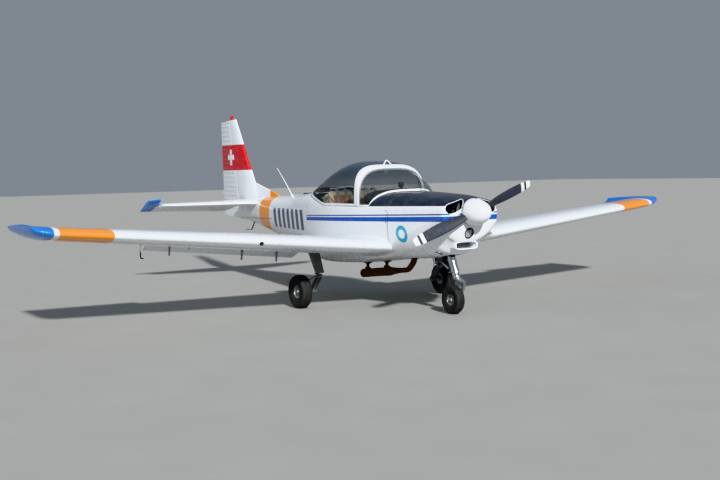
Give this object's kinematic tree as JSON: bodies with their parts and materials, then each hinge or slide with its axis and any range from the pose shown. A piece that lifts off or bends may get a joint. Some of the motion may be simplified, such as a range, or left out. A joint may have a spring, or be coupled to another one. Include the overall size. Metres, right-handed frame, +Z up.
{
  "type": "light trainer aircraft",
  "caption": "Low-wing light aircraft with a sliding bubble canopy, side-by-side seats, a nose propeller and fixed tricycle gear.",
  "frame": {"origin": "on the ground, halfway along the aircraft and on its centreline", "axes": "+X towards the nose, +Y to port along the span, +Z up"},
  "size_m": [7.3886, 9.75, 2.827],
  "materials": {
    "white_paint": "gloss",
    "dark_paint": "matte",
    "blue_paint": "gloss",
    "blade_paint": "satin",
    "engine_metal": "matte",
    "lamp_glass": "gloss",
    "tinted_glass": "gloss",
    "dark_plastic": "matte",
    "seat_fabric": "matte",
    "shelf_fabric": "matte",
    "grey_steel": "satin",
    "bright_steel": "polished",
    "grey_alloy": "satin",
    "tyre_rubber": "matte",
    "rusty_steel": "matte",
    "red_lens": "gloss"
  },
  "bodies": {
    "airframe": {"fuselage": "white_paint", "upper_cowl": "dark_paint", "lower_cowl": "white_paint", "engine_block": "engine_metal", "landing_light": "lamp_glass", "wing_port": "white_paint", "wing_starboard": "white_paint", "wing_tip_port": "blue_paint", "wing_tip_starboard": "blue_paint", "fin": "white_paint", "tailplane_port": "white_paint", "tailplane_starboard": "white_paint", "windscreen_glass": "tinted_glass", "windscreen_frame": "white_paint", "canopy_rail": "dark_paint", "instrument_panel": "dark_plastic", "seat_port": "seat_fabric", "seat_starboard": "seat_fabric", "rear_shelf": "shelf_fabric", "control_stick_port": "dark_plastic", "control_stick_starboard": "dark_plastic", "main_leg_port": "grey_steel", "main_leg_starboard": "grey_steel", "main_arm_port": "grey_steel", "main_arm_starboard": "grey_steel", "nose_strut": "bright_steel", "exhaust": "rusty_steel", "exhaust_hanger_front": "rusty_steel", "exhaust_hanger_rear": "rusty_steel", "beacon": "red_lens", "whip_antenna": "white_paint", "tail_skid": "dark_paint", "pitot_tube": "dark_paint"},
    "propeller": {"spinner": "white_paint", "prop_blade_port": "blade_paint", "prop_blade_starboard": "blade_paint"},
    "canopy": {"canopy_glass": "tinted_glass", "canopy_frame": "white_paint"},
    "port_flap": {"flap_port": "white_paint"},
    "starboard_flap": {"flap_starboard": "white_paint"},
    "port_aileron": {"aileron_port": "white_paint"},
    "starboard_aileron": {"aileron_starboard": "white_paint"},
    "rudder": {"rudder": "white_paint"},
    "elevator": {"elevator": "white_paint"},
    "port_wheel": {"main_port_tyre": "tyre_rubber", "main_port_rim": "grey_alloy"},
    "starboard_wheel": {"main_starboard_tyre": "tyre_rubber", "main_starboard_rim": "grey_alloy"},
    "nose_fork": {"nose_fork": "grey_steel"},
    "nose_wheel": {"nose_tyre": "tyre_rubber", "nose_rim": "grey_alloy"}
  },
  "joints": [
    {"name": "propeller_spin", "type": "hinge", "parent": "airframe", "child": "propeller", "pos_m": [3.43, 0, 1.285], "axis": [1, 0, 0], "continuous": true},
    {"name": "canopy_slide", "type": "slide", "parent": "airframe", "child": "canopy", "axis": [-0.9697, 0, 0.2441], "range_m": [0, 0.55]},
    {"name": "flap_starboard_hinge", "type": "hinge", "parent": "airframe", "child": "starboard_flap", "pos_m": [0.92478, -0.98, 0.81314], "axis": [-0.0422, 0.9947, -0.0939], "range_deg": [-9, 29]},
    {"name": "flap_port_hinge", "type": "hinge", "parent": "airframe", "child": "port_flap", "pos_m": [0.92478, 0.98, 0.81314], "axis": [0.0422, 0.9947, 0.0939], "range_deg": [-9, 29]},
    {"name": "aileron_starboard_hinge", "type": "hinge", "parent": "airframe", "child": "starboard_aileron", "pos_m": [1.11803, -3.208, 1.02872], "axis": [-0.032, 0.9951, -0.0933], "range_deg": [-20, 20]},
    {"name": "aileron_port_hinge", "type": "hinge", "parent": "airframe", "child": "port_aileron", "pos_m": [1.11803, 3.208, 1.02872], "axis": [0.032, 0.9951, 0.0933], "range_deg": [-20, 20]},
    {"name": "rudder_hinge", "type": "hinge", "parent": "airframe", "child": "rudder", "pos_m": [-2.859, 0, 1], "axis": [-0.2518, 0, 0.9678], "range_deg": [-25, 25]},
    {"name": "elevator_hinge", "type": "hinge", "parent": "airframe", "child": "elevator", "pos_m": [-2.715, 0, 1.322], "axis": [0, 1, 0], "range_deg": [0, 50]},
    {"name": "port_wheel_spin", "type": "hinge", "parent": "airframe", "child": "port_wheel", "pos_m": [1.205, 1.19, 0.2225], "axis": [0, 1, 0], "continuous": true},
    {"name": "starboard_wheel_spin", "type": "hinge", "parent": "airframe", "child": "starboard_wheel", "pos_m": [1.205, -1.19, 0.2225], "axis": [0, 1, 0], "continuous": true},
    {"name": "nose_steer", "type": "hinge", "parent": "airframe", "child": "nose_fork", "pos_m": [3.057, 0, 0.49], "axis": [-0.3824, 0, 0.924], "range_deg": [-25, 25]},
    {"name": "nose_wheel_spin", "type": "hinge", "parent": "nose_fork", "child": "nose_wheel", "pos_m": [2.985, 0, 0.18], "axis": [0, 1, 0], "continuous": true}
  ],
  "couplings": [
    {"joint": "flap_port_hinge", "follows": "flap_starboard_hinge", "ratio": 1},
    {"joint": "aileron_port_hinge", "follows": "aileron_starboard_hinge", "ratio": -1}
  ]
}
